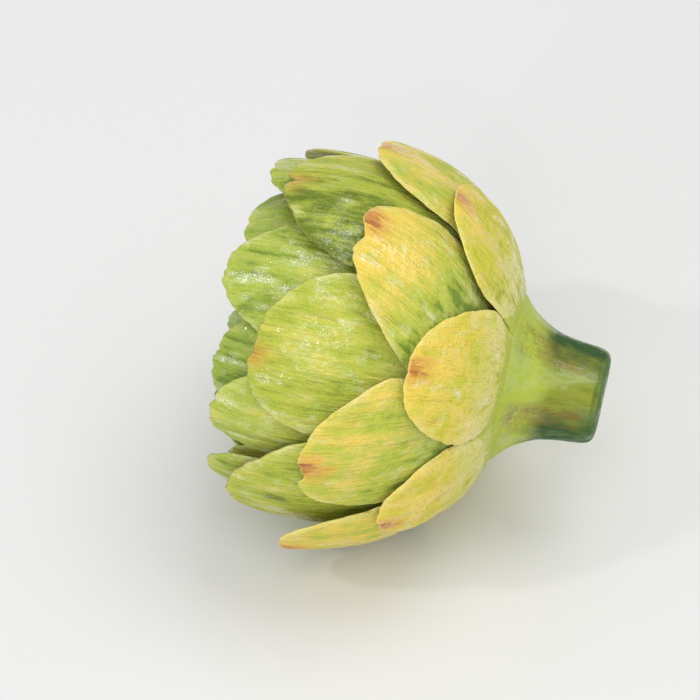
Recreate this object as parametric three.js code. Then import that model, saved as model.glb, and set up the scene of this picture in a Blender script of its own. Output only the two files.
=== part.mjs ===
// A globe artichoke, cut with a short stalk and laid on its side.
// One grown piece makes the stalk and the fleshy heart above it. Whorls of six bracts, the
// thick scale leaves of the bud, grow from the heart, each whorl inside the last and turned
// half a step, and the last leaves close over the middle as a small pointed bud.
//
// The head is built upright in its own frame: the origin is the centre of the stalk's cut
// end, +Z runs up the bud's axis, and an azimuth is a turn about it. It is then laid down.
import * as THREE from "three";
import { mergeVertices } from "three/addons/utils/BufferGeometryUtils.js";

// Driving dimensions, in millimetres and degrees.
const PER_WHORL = 6;
const STALK_DROOP = 5;
const AZIMUTH_UP = 44;
const CUT_END_HEIGHT = 44.1;
const SEED = 7;

// A stalk section: height above the cut end, and radius.
const STALK_OUTLINE = [
  [0, 11.2],
  [0.8, 12.3],
  [4.4, 12.8],
  [9.4, 13.1],
  [14.4, 13.9],
  [19.4, 16.5],
  [23, 19.6],
  [24.8, 21],
];
const HEART_OUTLINE = [
  [27.6, 20.3],
  [31, 18.9],
  [34.4, 17.2],
  [37.6, 15.1],
  [40.4, 12.7],
  [43, 9.7],
  [45.2, 5.8],
];
const HEART_TOP = 46.2;
const STALK_SIDES = 30;
const STALK_RIDGES = 5;
const RIDGE_DEPTH = 0.45;

// The whorls from the stalk upwards. A bract's midrib is a cubic curve through the half
// plane of height and radius, given by its four control points. halfWidth is half its full
// width, baseShare the share of that at the base, shoulder where the curve of the tip
// starts, edge and tilt how far its sides stand out or in, turn the azimuth of the first
// one, and thickness that of the base and the tip.
const WHORLS = [
  {
    name: "basal_bract",
    midrib: [[25.9, 21.8], [28.4, 33], [36.7, 42.9], [47.4, 48.7]],
    halfWidth: 18,
    baseShare: 0.62,
    shoulder: 0.42,
    edge: 0.2,
    tilt: 0,
    turn: -5,
    thickness: [1.9, 1.3],
    colour: 0xd2bd49,
  },
  {
    name: "lower_bract",
    midrib: [[28.9, 21], [32.9, 39.5], [46.9, 50], [68.9, 52]],
    halfWidth: 19.5,
    baseShare: 0.5,
    shoulder: 0.5,
    edge: -1.2,
    tilt: 0,
    turn: 25,
    thickness: [2.1, 1.4],
    colour: 0xc0c04e,
  },
  {
    name: "middle_bract",
    midrib: [[31.9, 19.7], [34.3, 41], [63.4, 52.6], [89.9, 43.5]],
    halfWidth: 24,
    baseShare: 0.42,
    shoulder: 0.55,
    edge: -1.6,
    tilt: 0.7,
    turn: -5,
    thickness: [2.2, 1.3],
    colour: 0xa3b544,
  },
  {
    name: "upper_bract",
    midrib: [[35, 18.1], [36.6, 37.5], [70.4, 49.5], [97.9, 39.3]],
    halfWidth: 22.6,
    baseShare: 0.42,
    shoulder: 0.6,
    edge: -1.3,
    tilt: 0.7,
    turn: 25,
    thickness: [2.2, 1.2],
    colour: 0x97b149,
  },
  {
    name: "crown_bract",
    midrib: [[38.1, 16.1], [40, 33.5], [77, 48], [98.9, 31]],
    halfWidth: 20.6,
    baseShare: 0.42,
    shoulder: 0.6,
    edge: -1.2,
    tilt: 0.7,
    turn: -5,
    thickness: [2.1, 1.2],
    colour: 0x86a544,
  },
  {
    name: "inner_bract",
    midrib: [[41, 13.7], [43.4, 30], [80, 46], [98.9, 20.5]],
    halfWidth: 18,
    baseShare: 0.45,
    shoulder: 0.6,
    edge: -1,
    tilt: 0.7,
    turn: 25,
    thickness: [2, 1.1],
    colour: 0x96b058,
  },
  {
    name: "heart_bract",
    midrib: [[43.5, 10.8], [47.2, 26], [80, 41.5], [98.2, 11.5]],
    halfWidth: 14.8,
    baseShare: 0.45,
    shoulder: 0.6,
    edge: -0.8,
    tilt: 0.7,
    turn: -5,
    thickness: [1.8, 1.1],
    colour: 0xa5b968,
  },
  {
    name: "bud_bract",
    midrib: [[46, 7.2], [52.2, 20], [80, 34], [97, 4.5]],
    halfWidth: 10.8,
    baseShare: 0.5,
    shoulder: 0.6,
    edge: -0.5,
    tilt: 0.7,
    turn: 25,
    thickness: [1.6, 1],
    colour: 0xb3c178,
  },
];

// How single bracts differ from their whorl: the ones that face the viewer, and the ones
// that the head lies on. turn is the azimuth of the base, skew how far the tip leans round
// from it, lean how far the point sits off the midrib, reach the length against the
// whorl's, round how blunt the tip is, lift how far it stands off, low and high how wide
// the two sides are, and claim the share of the room between two neighbours.
const SHAPED = {
  basal_bract_1: { turn: -2.5, skew: -3, reach: 1.02, round: 2.5 },
  basal_bract_2: { turn: 56, skew: 5, halfWidth: 19.5, low: 1.1, round: 2.5, notch: 0 },
  basal_bract_3: { turn: 120, lift: 1 },
  basal_bract_5: { turn: 226, reach: 0.94, lift: 2.2, halfWidth: 20 },
  basal_bract_6: { turn: -62, skew: 2, reach: 1.04, halfWidth: 17, lean: 0.1, notch: 0 },
  lower_bract_1: {
    turn: 5, skew: 22, reach: 0.98, halfWidth: 19.5, baseShare: 0.78, high: 1.15, round: 2.6,
    lean: 0.2,
  },
  lower_bract_2: {
    turn: 73, skew: 4, reach: 1.02, halfWidth: 20, baseShare: 0.3, shoulder: 0.7, round: 2.6,
    edge: -0.5, tilt: 1.7, midrib: [[28.9, 21], [32.8, 40], [46.6, 51], [68.8, 52.2]],
  },
  lower_bract_3: { turn: 134, skew: -5, lift: 2 },
  lower_bract_4: { turn: 210, skew: 4 },
  lower_bract_5: {
    turn: -80.5, reach: 1.065, halfWidth: 23.5, round: 4.2, lean: 0.3, lift: 1.5,
  },
  lower_bract_6: {
    turn: -22, skew: -15, reach: 1.01, halfWidth: 21.5, low: 1.06, round: 3, lean: -0.12,
  },
  middle_bract_1: {
    turn: -8.5, reach: 0.965, round: 2.4, shoulder: 0.7, lean: -0.12, edge: 0, tilt: 0,
    claim: 0.93,
  },
  middle_bract_2: {
    turn: 58, skew: -5, reach: 0.99, halfWidth: 27, low: 1.12, round: 1.95, shoulder: 0.68,
    lift: 1, edge: 0, tilt: 0,
  },
  middle_bract_3: { turn: 108, reach: 1.01, lift: 2 },
  middle_bract_6: {
    turn: -55.5, skew: -11.5, reach: 0.985, halfWidth: 26.5, baseShare: 0.6, round: 2.6,
    shoulder: 0.66, lift: 1, edge: -0.3, tilt: 0, claim: 1.25,
  },
  upper_bract_1: { turn: 16, reach: 1.012, halfWidth: 19.5, round: 1.85 },
  upper_bract_2: { turn: 68, reach: 0.965, round: 2.6, shoulder: 0.7, lift: 1.2 },
  upper_bract_5: { turn: -69, skew: -3, reach: 0.968, round: 3.4, shoulder: 0.66, lean: 0.1 },
  upper_bract_6: { turn: -38, reach: 0.968, halfWidth: 21, round: 2.6 },
  crown_bract_1: { turn: -16, reach: 0.965, halfWidth: 24, round: 3, lean: -0.3 },
  crown_bract_2: { turn: 47, reach: 0.985, round: 2.4 },
  crown_bract_6: { turn: -76, reach: 0.89, round: 2.5 },
};

// How far a bract with no entry above may stray from its whorl.
const TURN_SPREAD = 2;
const SKEW_SPREAD = 4;
const REACH_SPREAD = 0.015;
const TIP_NOTCH = 0.008;
const NOTCH_WIDTH = 0.12;
const EDGE_THINNING = 0.5;
const EDGE_GAP = 0.45;

const BUD_OUTLINE = [
  [47.6, 4.6],
  [52, 8],
  [62, 13],
  [72, 15],
  [80, 13.6],
  [87, 9.2],
  [91.5, 4.2],
];
const BUD_BOTTOM = 46.9;
const BUD_TOP = 94;
const BUD_SIDES = 24;
const BUD_LOBES = 6;
const LOBE_DEPTH = 0.5;
const LOBE_TWIST = 0.5;

const radians = THREE.MathUtils.degToRad;

// A repeatable draw from -1 to 1.
let drawn = SEED;
function draw() {
  drawn = (Math.imul(drawn, 1664525) + 1013904223) >>> 0;
  return (drawn / 2 ** 31) - 1;
}

// A closed geometry from rings of points that all hold the same number, capped at both ends.
function ringSolid(rings, bottom, top) {
  const sides = rings[0].length;
  const points = [bottom, ...rings.flat(), top];
  const last = points.length - 1;
  const faces = [];
  const at = (ring, side) => 1 + ring * sides + (side % sides);
  for (let side = 0; side < sides; side += 1) {
    faces.push(0, at(0, side + 1), at(0, side));
    faces.push(last, at(rings.length - 1, side), at(rings.length - 1, side + 1));
    for (let ring = 0; ring + 1 < rings.length; ring += 1) {
      faces.push(at(ring, side), at(ring, side + 1), at(ring + 1, side + 1));
      faces.push(at(ring, side), at(ring + 1, side + 1), at(ring + 1, side));
    }
  }
  return new THREE.BufferGeometry().setFromPoints(points).setIndex(faces);
}

// A ring of the given height, whose radius is a function of the azimuth.
function ring(height, sides, radiusAt) {
  return Array.from({ length: sides }, (_, side) => {
    const azimuth = (2 * Math.PI * side) / sides;
    const radius = radiusAt(azimuth);
    return new THREE.Vector3(radius * Math.cos(azimuth), radius * Math.sin(azimuth), height);
  });
}

// The stalk with its soft ridges, flaring into the heart that carries every bract.
function stalkAndHeart() {
  const ridged = STALK_OUTLINE.map(([height, radius]) =>
    ring(height, STALK_SIDES, (azimuth) => {
      const share = Math.sin((Math.PI * height) / STALK_OUTLINE.at(-1)[0]);
      return radius + RIDGE_DEPTH * share * Math.cos(STALK_RIDGES * azimuth);
    }),
  );
  const heart = HEART_OUTLINE.map(([height, radius]) => ring(height, STALK_SIDES, () => radius));
  return ringSolid(
    [...ridged, ...heart],
    new THREE.Vector3(0, 0, 0),
    new THREE.Vector3(0, 0, HEART_TOP),
  );
}

// The last leaves, too tightly wrapped to part: a pointed bud with slightly twisted lobes.
function closedBud() {
  const rings = BUD_OUTLINE.map(([height, radius]) =>
    ring(height, BUD_SIDES, (azimuth) => {
      const twisted = azimuth + radians(LOBE_TWIST * height);
      return radius + LOBE_DEPTH * Math.min(1, radius / 8) * Math.cos(BUD_LOBES * twisted);
    }),
  );
  return ringSolid(rings, new THREE.Vector3(0, 0, BUD_BOTTOM), new THREE.Vector3(0, 0, BUD_TOP));
}

// The point of a bract's middle surface at u across it, from -1 to 1, and v along it. A
// bract is never wider than the room its neighbours in the whorl leave it.
function bractPoint(bract, u, v) {
  const offPoint = u - bract.lean * (1 - u * u);
  const dome = Math.sqrt(Math.max(0, 1 - Math.abs(offPoint) ** bract.round));
  const outline = bract.shoulder + (1 - bract.shoulder) * dome;
  const notch = bract.notch * Math.exp(-((u / NOTCH_WIDTH) ** 2));
  const along = v * (outline * bract.reach - notch);
  const opening = Math.sin((Math.PI / 2) * Math.min(1, along / bract.shoulder));
  const midrib = new THREE.CubicBezierCurve(
    ...bract.midrib.map(([height, radius]) => new THREE.Vector2(height, radius)),
  );
  const place = midrib.getPoint(along);
  const course = tangentOf(bract.midrib, along);
  const settled = Math.sin((Math.PI / 2) * Math.min(1, along / 0.4));
  const curl = (bract.edge * u * u + bract.tilt * u) * settled;
  const stand = 2 * bract.lift * along ** 3 + curl;
  const height = place.x - course.y * stand;
  const radius = place.y + course.x * stand;
  const grown = bract.halfWidth * (bract.baseShare + (1 - bract.baseShare) * opening);
  const room = radius * roomTo(u < 0 ? bract.before : bract.after, bract, along) - EDGE_GAP;
  const width = Math.min(grown * (u < 0 ? bract.low : bract.high), room);
  const azimuth = radians(bract.turn + bract.skew * along) + (u * width) / radius;
  return new THREE.Vector3(radius * Math.cos(azimuth), radius * Math.sin(azimuth), height);
}

// A bract's share of the angle to its neighbour's midrib, at a share of their length.
function roomTo(neighbour, bract, along) {
  const turned = THREE.MathUtils.euclideanModulo(neighbour.turn - bract.turn + 180, 360) - 180;
  const between = Math.abs(radians(turned + (neighbour.skew - bract.skew) * along));
  return (between * bract.claim) / (bract.claim + neighbour.claim);
}

// The unit tangent of a cubic curve, also a little past its end.
function tangentOf([a, b, c, d], t) {
  const slope = (i) =>
    3 * (1 - t) ** 2 * (b[i] - a[i]) + 6 * (1 - t) * t * (c[i] - b[i]) + 3 * t * t * (d[i] - c[i]);
  return new THREE.Vector2(slope(0), slope(1)).normalize();
}

// The middle surface's outward normal, from two short steps each way.
function bractNormal(bract, u, v) {
  const step = 0.01;
  const across = bractPoint(bract, Math.min(1, u + step), v).sub(
    bractPoint(bract, Math.max(-1, u - step), v),
  );
  const along = bractPoint(bract, u, Math.min(1, v + step)).sub(
    bractPoint(bract, u, Math.max(0, v - step)),
  );
  return across.cross(along).normalize();
}

// Presses a point that would lie under the table up onto it.
const up = new THREE.Vector3(
  Math.cos(radians(STALK_DROOP)) * Math.cos(radians(AZIMUTH_UP)),
  Math.cos(radians(STALK_DROOP)) * Math.sin(radians(AZIMUTH_UP)),
  Math.sin(radians(STALK_DROOP)),
);
function pressed(point) {
  const above = CUT_END_HEIGHT + point.dot(up);
  return above < 0 ? point.addScaledVector(up, -above) : point;
}

// One bract as a closed blade: two faces a little apart, with the rim between them.
function bractBlade(bract, acrossSteps, alongSteps) {
  const faces = [];
  const points = [];
  const columns = acrossSteps + 1;
  const perSide = columns * (alongSteps + 1);
  for (const side of [1, -1]) {
    for (let row = 0; row <= alongSteps; row += 1) {
      for (let column = 0; column < columns; column += 1) {
        const u = Math.sin((Math.PI / 2) * ((2 * column) / acrossSteps - 1));
        const v = row / alongSteps;
        const [base, tip] = bract.thickness;
        const thickness = (base + (tip - base) * v) * (1 - EDGE_THINNING * u * u);
        const point = bractPoint(bract, u, v);
        point.addScaledVector(bractNormal(bract, u * 0.98, v * 0.98), (side * thickness) / 2);
        points.push(pressed(point));
      }
    }
  }
  const at = (row, column) => row * columns + column;
  for (let row = 0; row < alongSteps; row += 1) {
    for (let column = 0; column < acrossSteps; column += 1) {
      const a = at(row, column);
      const b = at(row, column + 1);
      const c = at(row + 1, column + 1);
      const d = at(row + 1, column);
      faces.push(a, b, c, a, c, d);
      faces.push(a + perSide, c + perSide, b + perSide, a + perSide, d + perSide, c + perSide);
    }
  }
  const rim = [];
  for (let column = 0; column < acrossSteps; column += 1) rim.push(at(0, column));
  for (let row = 0; row < alongSteps; row += 1) rim.push(at(row, acrossSteps));
  for (let column = acrossSteps; column > 0; column -= 1) rim.push(at(alongSteps, column));
  for (let row = alongSteps; row > 0; row -= 1) rim.push(at(row, 0));
  rim.forEach((here, index) => {
    const next = rim[(index + 1) % rim.length];
    faces.push(here, here + perSide, next + perSide, here, next + perSide, next);
  });
  return new THREE.BufferGeometry().setFromPoints(points).setIndex(faces);
}

// Every bract of a whorl, with its own turn, lean and reach, and its two neighbours.
function bractsOf(whorl) {
  const bracts = Array.from({ length: PER_WHORL }, (_, index) => {
    const name = `${whorl.name}_${index + 1}`;
    const plain = {
      lean: 0, lift: 0, low: 1, high: 1, claim: 1, round: 2.2, notch: TIP_NOTCH,
    };
    const strayed = {
      turn: whorl.turn + (360 / PER_WHORL) * index + TURN_SPREAD * draw(),
      skew: SKEW_SPREAD * draw(),
      reach: 1 + REACH_SPREAD * draw(),
    };
    const shaped = SHAPED[name] && { skew: 0, reach: 1, ...SHAPED[name] };
    return { ...plain, ...whorl, ...(shaped ?? strayed), name };
  });
  bracts.forEach((bract, index) => {
    bract.before = bracts[(index + PER_WHORL - 1) % PER_WHORL];
    bract.after = bracts[(index + 1) % PER_WHORL];
  });
  return bracts;
}

function piece(name, geometry, colour) {
  const mesh = new THREE.Mesh(
    mergeVertices(geometry, 1e-5),
    new THREE.MeshStandardMaterial({ color: colour, roughness: 0.45, metalness: 0 }),
  );
  mesh.geometry.computeVertexNormals();
  mesh.name = name;
  return mesh;
}

const head = new THREE.Group();
head.add(piece("stalk_and_heart", stalkAndHeart(), 0x6f9a3c));
WHORLS.forEach((whorl, index) => {
  const outer = index < 4;
  for (const bract of bractsOf(whorl)) {
    const blade = bractBlade(bract, outer ? 8 : 6, outer ? 8 : 7);
    head.add(piece(bract.name, blade, whorl.colour));
  }
});
head.add(piece("closed_bud", closedBud(), 0xb9c47c));

// Laid on its side: the stalk points along +X and droops, and the pressed side is down.
head.rotation.set(0, -radians(90 - STALK_DROOP), -radians(AZIMUTH_UP));
const artichoke = new THREE.Group();
artichoke.add(head);
artichoke.updateMatrixWorld(true);
const box = new THREE.Box3().setFromObject(head, true);
head.position.set(
  -(box.min.x + box.max.x) / 2,
  -(box.min.y + box.max.y) / 2,
  -box.min.z,
);

export default artichoke;
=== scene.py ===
# A globe artichoke with a short cut stalk, lying on its side on a pale table.
import math

import bpy
import numpy as np
from mathutils import Matrix, Vector


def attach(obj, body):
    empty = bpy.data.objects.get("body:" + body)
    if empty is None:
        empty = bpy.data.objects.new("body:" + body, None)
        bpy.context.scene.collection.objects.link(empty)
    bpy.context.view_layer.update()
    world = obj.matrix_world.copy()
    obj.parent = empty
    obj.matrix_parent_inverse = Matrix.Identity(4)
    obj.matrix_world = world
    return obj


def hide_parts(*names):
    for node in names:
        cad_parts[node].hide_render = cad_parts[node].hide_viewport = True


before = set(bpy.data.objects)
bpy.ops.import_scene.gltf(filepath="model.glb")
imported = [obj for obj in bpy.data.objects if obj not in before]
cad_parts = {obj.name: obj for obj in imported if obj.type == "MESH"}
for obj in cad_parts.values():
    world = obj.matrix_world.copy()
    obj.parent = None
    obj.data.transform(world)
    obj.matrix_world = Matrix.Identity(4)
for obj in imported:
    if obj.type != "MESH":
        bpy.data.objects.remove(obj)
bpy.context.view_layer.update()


# The table: a plain matt sheet in a pale room, under three large soft lamps. Three small
# lamps glint on the wet leaves. The camera looks down on the head from 45 degrees.
def linear(red, green, blue):
    """A colour from 0 to 255 as a screen shows it, as the linear one that a node takes."""
    values = [c / 255 for c in (red, green, blue)]
    return tuple(c / 12.92 if c < 0.04045 else ((c + 0.055) / 1.055) ** 2.4 for c in values)


VIEW_AZIMUTH = math.radians(12.7)
VIEW_ELEVATION = math.radians(45)
CAMERA_PLACE = (0.08471, -0.45208, 0.50841)
CAMERA_LENS = 128.57
TABLE_HALF = 6
TABLE_TOP = -0.0001
ROOM_LIGHT = 0.59
HEAD_MIDDLE = (0, 0, 0.05)
towards_camera = Vector(
    (
        math.sin(VIEW_AZIMUTH) * math.cos(VIEW_ELEVATION),
        -math.cos(VIEW_AZIMUTH) * math.cos(VIEW_ELEVATION),
        math.sin(VIEW_ELEVATION),
    )
)
camera_data = bpy.data.cameras.new("camera")
camera_data.lens = CAMERA_LENS
camera_data.sensor_width = 36
camera = bpy.data.objects.new("camera", camera_data)
camera.location = CAMERA_PLACE
camera.rotation_mode = "QUATERNION"
camera.rotation_quaternion = (-towards_camera).to_track_quat("-Z", "Y")
bpy.context.collection.objects.link(camera)
bpy.context.scene.camera = camera
bpy.context.scene.view_settings.view_transform = "Standard"

table_mesh = bpy.data.meshes.new("table")
table_corners = [
    (x * TABLE_HALF, y * TABLE_HALF, TABLE_TOP) for x, y in ((-1, -1), (1, -1), (1, 1), (-1, 1))
]
table_mesh.from_pydata(table_corners, [], [(0, 1, 2, 3)])
table = bpy.data.objects.new("table", table_mesh)
bpy.context.collection.objects.link(table)
table_paint = bpy.data.materials.new("table_paint")
table_paint.use_nodes = True
table_shader = table_paint.node_tree.nodes["Principled BSDF"]
table_shader.inputs["Base Color"].default_value = (0.8, 0.8, 0.8, 1)
table_shader.inputs["Roughness"].default_value = 0.9
table_shader.inputs["Specular IOR Level"].default_value = 0.1
table_mesh.materials.append(table_paint)


def soft_lamp(name, location, aim, size, watts):
    """A round lamp of a size in metres that shines at a point."""
    data = bpy.data.lights.new(name, "AREA")
    data.shape = "DISK"
    data.size = size
    data.energy = watts
    lamp = bpy.data.objects.new(name, data)
    lamp.location = location
    direction = Vector(aim) - Vector(location)
    lamp.rotation_euler = direction.to_track_quat("-Z", "Y").to_euler()
    bpy.context.collection.objects.link(lamp)


soft_lamp("key_lamp", (0.35, 0.25, 1.4), (0, 0, 0.04), 0.85, 5.4)
soft_lamp("front_lamp", (0.1, -0.75, 1.35), HEAD_MIDDLE, 0.8, 4)
soft_lamp("fill_lamp", (-0.3, -1.3, 0.6), HEAD_MIDDLE, 0.8, 1.8)
soft_lamp("side_lamp", (-0.75, -0.45, 0.95), HEAD_MIDDLE, 0.08, 1.5)
soft_lamp("near_lamp", (0.15, -1.3, 0.95), HEAD_MIDDLE, 0.1, 1)
soft_lamp("low_lamp", (-0.5, -1.3, 0.4), HEAD_MIDDLE, 0.1, 1.3)
room = bpy.data.worlds.new("room")
room.use_nodes = True
room.node_tree.nodes["Background"].inputs["Color"].default_value = (1, 1, 1, 1)
room.node_tree.nodes["Background"].inputs["Strength"].default_value = ROOM_LIGHT
bpy.context.scene.world = room


# The stalk and the fleshy heart, one grown piece: a short stem with soft ridges and a
# rounded cut end, which flares under the lowest leaves. Its skin is bright green at the
# neck and darker towards the cut, with a few red-brown streaks in the grooves.
MM = 0.001
STALK_DROOP = 5
AZIMUTH_UP = 44
HEAD_PLACE = (0.0501744, -0.0019024, 0.0441)
LIP_HEIGHT = 24.8
STALK_OUTLINE = [
    (0, 0), (0, 5), (0, 8.6), (0.25, 10.4), (0.9, 11.6), (2.1, 12.35), (4.4, 12.75),
    (9.4, 13.1), (14.4, 13.9), (17, 15.1), (19.4, 16.5), (21.4, 18), (23, 19.7),
    (24, 20.9), (LIP_HEIGHT, 21.9), (25.7, 22.1), (26.2, 21.5), (27.6, 20.3), (31, 18.9),
    (34.4, 17.2), (37.6, 15.1), (40.4, 12.7), (43, 9.7), (45.2, 5.8), (46, 0),
]
STALK_RIDGES = 5
RIDGE_DEPTH = 0.45
FULL_RIDGE_RADIUS = 10
RIPPLES = 11
RIPPLE_DEPTH = 0.12
RIPPLE_TWIST = 0.2
CUT_FACE_RADIUS = 11.5
BUNDLE_RING = 8

laid_down = (
    Matrix.Translation(HEAD_PLACE)
    @ Matrix.Rotation(-math.radians(90 - STALK_DROOP), 4, "Y")
    @ Matrix.Rotation(-math.radians(AZIMUTH_UP), 4, "Z")
    @ Matrix.Scale(MM, 4)
)


class Value:
    """A value in a node tree, so that a formula of nodes can be written as a formula."""

    def __init__(self, socket):
        self.socket = socket
        self.tree = socket.id_data

    def __add__(self, other):
        return calculate("ADD", self, other)

    def __sub__(self, other):
        return calculate("SUBTRACT", self, other)

    def __mul__(self, other):
        return calculate("MULTIPLY", self, other)

    def __truediv__(self, other):
        return calculate("DIVIDE", self, other)

    def __pow__(self, other):
        return calculate("POWER", self, other)

    def __radd__(self, other):
        return calculate("ADD", other, self)

    def __rsub__(self, other):
        return calculate("SUBTRACT", other, self)

    def __rmul__(self, other):
        return calculate("MULTIPLY", other, self)

    def __neg__(self):
        return calculate("MULTIPLY", self, -1)

    def __abs__(self):
        return calculate("ABSOLUTE", self)


def wire(socket, value):
    """Feeds a socket from a Value, or sets it."""
    if isinstance(value, Value):
        socket.id_data.links.new(value.socket, socket)
    else:
        socket.default_value = value


def calculate(operation, *terms, clamp=False):
    """A sum of values and numbers, as a node."""
    tree = next(term.tree for term in terms if isinstance(term, Value))
    node = tree.nodes.new("ShaderNodeMath")
    node.operation = operation
    node.use_clamp = clamp
    for socket, term in zip(node.inputs, terms):
        wire(socket, term)
    return Value(node.outputs[0])


def sine(term):
    return calculate("SINE", term)


def cosine(term):
    return calculate("COSINE", term)


def least(a, b):
    return calculate("MINIMUM", a, b)


def most(a, b):
    return calculate("MAXIMUM", a, b)


def clamped(term):
    """The term, kept from 0 to 1."""
    return calculate("ADD", term, 0, clamp=True)


def step(term, low, high):
    """A smooth step from 0 where term is low to 1 where it is high."""
    node = term.tree.nodes.new("ShaderNodeMapRange")
    node.interpolation_type = "SMOOTHSTEP"
    for name, value in (("Value", term), ("From Min", low), ("From Max", high)):
        wire(node.inputs[name], value)
    return Value(node.outputs["Result"])


def joined(x, y, z):
    """A vector of three values."""
    tree = next(term.tree for term in (x, y, z) if isinstance(term, Value))
    node = tree.nodes.new("ShaderNodeCombineXYZ")
    for socket, term in zip(node.inputs, (x, y, z)):
        wire(socket, term)
    return Value(node.outputs[0])


def parted(vector):
    """The three values of a vector."""
    node = vector.tree.nodes.new("ShaderNodeSeparateXYZ")
    wire(node.inputs[0], vector)
    return [Value(output) for output in node.outputs]


def grain(vector, scale=1.0, detail=2.0, roughness=0.5):
    """Cloudy noise from 0 to 1 at a place."""
    node = vector.tree.nodes.new("ShaderNodeTexNoise")
    wire(node.inputs["Vector"], vector)
    wire(node.inputs["Scale"], scale)
    wire(node.inputs["Detail"], detail)
    wire(node.inputs["Roughness"], roughness)
    return Value(node.outputs[0])


def blended(share, first, second):
    """The colour that is first where share is 0 and second where it is 1."""
    node = share.tree.nodes.new("ShaderNodeMix")
    node.data_type = "RGBA"
    wire(node.inputs["Factor"], share)
    for name, colour in (("A", first), ("B", second)):
        socket = next(s for s in node.inputs if s.name == name and s.type == "RGBA")
        wire(socket, colour if isinstance(colour, Value) else (*colour, 1))
    return Value(next(s for s in node.outputs if s.type == "RGBA"))


def marked(tree, name, part="Vector"):
    """What a mesh carries under a name."""
    node = tree.nodes.new("ShaderNodeAttribute")
    node.attribute_name = name
    return Value(node.outputs[part])


def node_group(name, inputs, outputs, kind="ShaderNodeTree"):
    """An empty group with named sockets, and its inputs as values."""
    tree = bpy.data.node_groups.new(name, kind)
    for where, sockets in (("INPUT", inputs), ("OUTPUT", outputs)):
        for socket_name, socket_type in sockets.items():
            tree.interface.new_socket(
                name=socket_name, in_out=where, socket_type="NodeSocket" + socket_type
            )
    source = tree.nodes.new("NodeGroupInput")
    sink = tree.nodes.new("NodeGroupOutput")
    return tree, {s.name: Value(s) for s in source.outputs if s.name}, sink


def use_group(tree, group, **values):
    """Puts a group into a tree, feeds it and gives what comes out, by name."""
    node = tree.nodes.new("ShaderNodeGroup")
    node.node_tree = group
    for name, value in values.items():
        wire(node.inputs[name.replace("_", " ")], value)
    return {output.name: Value(output) for output in node.outputs}


def skin_material(name):
    """A material with its node tree and its shader."""
    material = bpy.data.materials.new(name)
    material.use_nodes = True
    tree = material.node_tree
    return material, tree, tree.nodes["Principled BSDF"]


def finish_skin(tree, shader, colour, roughness, height, film, depth):
    """Wires a shader up: its colour, its roughness, and the relief of the skin and of the
    film of water on it, of the given depth in metres."""
    wire(shader.inputs["Base Color"], colour)
    wire(shader.inputs["Roughness"], roughness)
    for relief, socket in ((height, "Normal"), (film, "Coat Normal")):
        bump = tree.nodes.new("ShaderNodeBump")
        bump.inputs["Strength"].default_value = 1.0
        bump.inputs["Distance"].default_value = depth
        wire(bump.inputs["Height"], relief)
        tree.links.new(bump.outputs["Normal"], shader.inputs[socket])


# Streaks that follow the fibres: hair lines, fibre lines and soft bands.
streaks, given, out = node_group(
    "fibre_streaks", {"Place": "Vector", "Width": "Float"},
    {"Hair": "Float", "Fibre": "Float", "Band": "Float"},
)
side, along, other = parted(given["Place"])
for name, wide, long in (("Hair", 0.34, 9), ("Fibre", 1.2, 17), ("Band", 4.6, 30)):
    across_line, deep_line = side / (given["Width"] * wide), other / (given["Width"] * wide)
    line = grain(joined(across_line, along / long, deep_line), 1.0, 3.0, 0.62)
    wire(out.inputs[name], line)

NECK_GREEN = linear(181, 195, 72)
STALK_GREEN = linear(142, 150, 50)
SHADED_FLANK_GREEN = linear(46, 82, 38)
FIBRE_GREEN = linear(66, 98, 38)
BAND_GREEN = linear(148, 176, 68)
SHEEN_GREEN = linear(196, 210, 140)
GROOVE_OLIVE = linear(138, 112, 50)
GROOVE_RED = linear(132, 84, 42)
DRY_HAIR = linear(196, 196, 120)
CUT_RIM = linear(40, 80, 34)
CUT_GREEN = linear(72, 110, 56)
PITH = linear(126, 146, 88)
BUNDLE_OLIVE = linear(84, 92, 48)
stalk_material, tree, shader = skin_material("stalk_skin")
place = marked(tree, "grain")
about_x, height, about_y = parted(place)
lines = use_group(tree, streaks, Place=place, Width=1.2)
groove, flank, _ = parted(marked(tree, "stalk"))
mottled = grain(joined(about_x, height * 0.8, about_y), 0.17, 3.0, 0.6)
neck = step(height + mottled * 7 - 3.5 - abs(flank) * 3.5, 11, 18)
# Painted shade: the stalk is darker green along both sides that turn away from the camera, in
# mottled patches that are partly its own darker green.
flank_shade = step(abs(flank) + (mottled - 0.5) * 0.9 + (lines["Band"] - 0.5) * 0.4, 0.25, 0.8)
colour = blended(flank_shade, STALK_GREEN, SHADED_FLANK_GREEN)
colour = blended(step(lines["Fibre"], 0.46, 0.72) * 0.4, colour, FIBRE_GREEN)
colour = blended(neck, colour, NECK_GREEN)
colour = blended(step(lines["Band"], 0.46, 0.7) * 0.35, colour, BAND_GREEN)
# Painted sheen: a pale wedge along the line of the stalk that faces the camera, widening towards
# the neck and broken by the fibres.
sheen_wedge = step(abs(flank - 0.12) - (height - 8) * 0.02, 0.06, -0.06) * step(height, 6, 10)
colour = blended(sheen_wedge * step(lines["Fibre"], 0.7, 0.4) * 0.28, colour, SHEEN_GREEN)
in_groove = step(groove, 0.35, 0.95) * step(height, 3, 7) * step(height, 26, 21)
redness = in_groove * step(lines["Fibre"] + (mottled - 0.5) * 0.8, 0.4, 0.62)
colour = blended(redness * 0.45, colour, GROOVE_OLIVE)
redness = in_groove * step(lines["Hair"] + (lines["Band"] - 0.5) * 0.8, 0.5, 0.66)
colour = blended(redness * 0.55, colour, GROOVE_RED)
hairs = step(lines["Hair"], 0.62, 0.74) * step(mottled, 0.45, 0.6)
colour = blended(hairs * 0.4, colour, DRY_HAIR)
edge_line = step(height, 3.2, 2.5) * step(height, 1.5, 2.1)
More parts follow.
